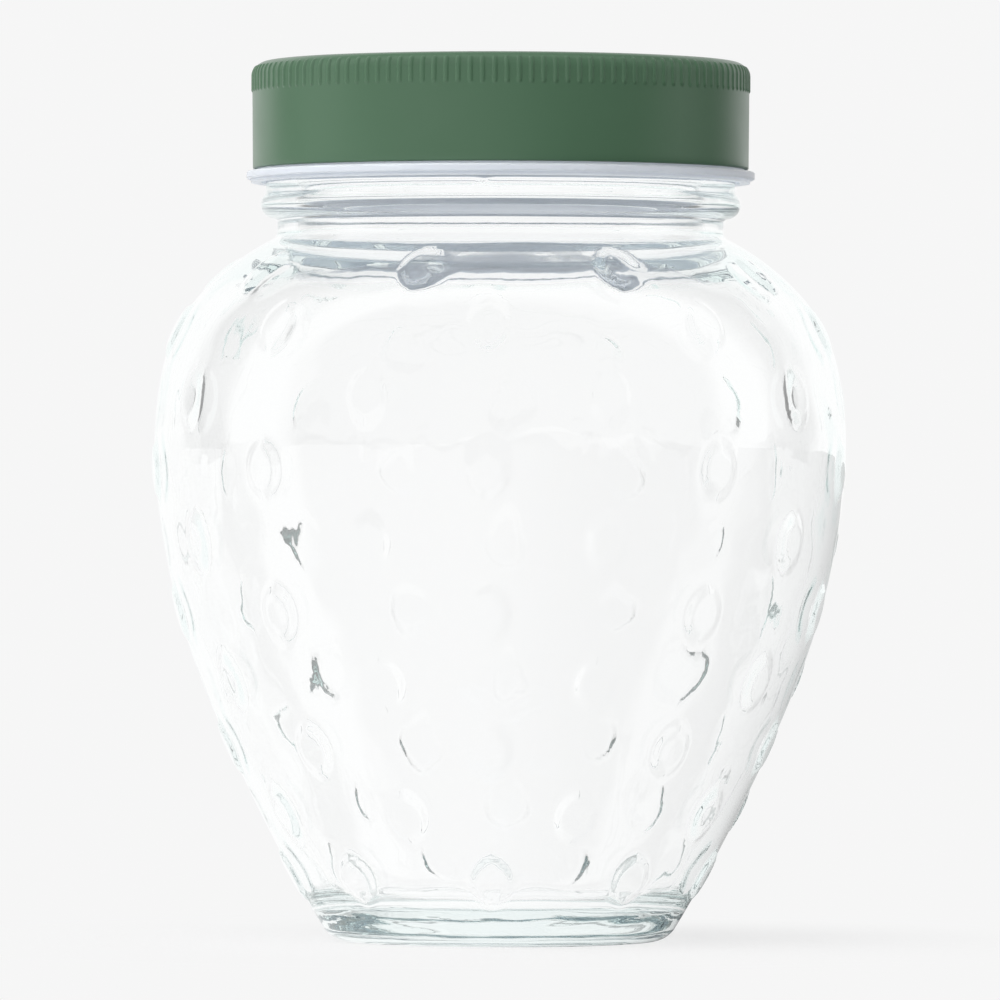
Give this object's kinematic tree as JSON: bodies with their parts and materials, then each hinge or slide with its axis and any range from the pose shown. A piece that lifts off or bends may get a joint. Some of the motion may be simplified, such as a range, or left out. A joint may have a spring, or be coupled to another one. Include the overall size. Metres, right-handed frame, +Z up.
{
  "type": "glass storage jar",
  "caption": "Clear glass storage jar shaped like a strawberry, with rows of raised seeds on its walls, a grooved neck and a green knurled metal screw lid over a pale plastic insert.",
  "frame": {"origin": "centre of the base, on the surface that the jar stands on", "axes": "+Z up along the jar's axis; -Y towards the viewer of the front, +X to the viewer's right"},
  "size_m": [0.1228, 0.1234, 0.1555],
  "materials": {
    "clear_glass": "clear, fire-polished",
    "green_paint": "matte paint on pressed sheet steel",
    "pale_plastic": "milky, slightly translucent"
  },
  "bodies": {
    "root": {"jar_glass": "clear_glass", "lid_liner": "pale_plastic", "lid_shell": "green_paint"}
  },
  "joints": []
}
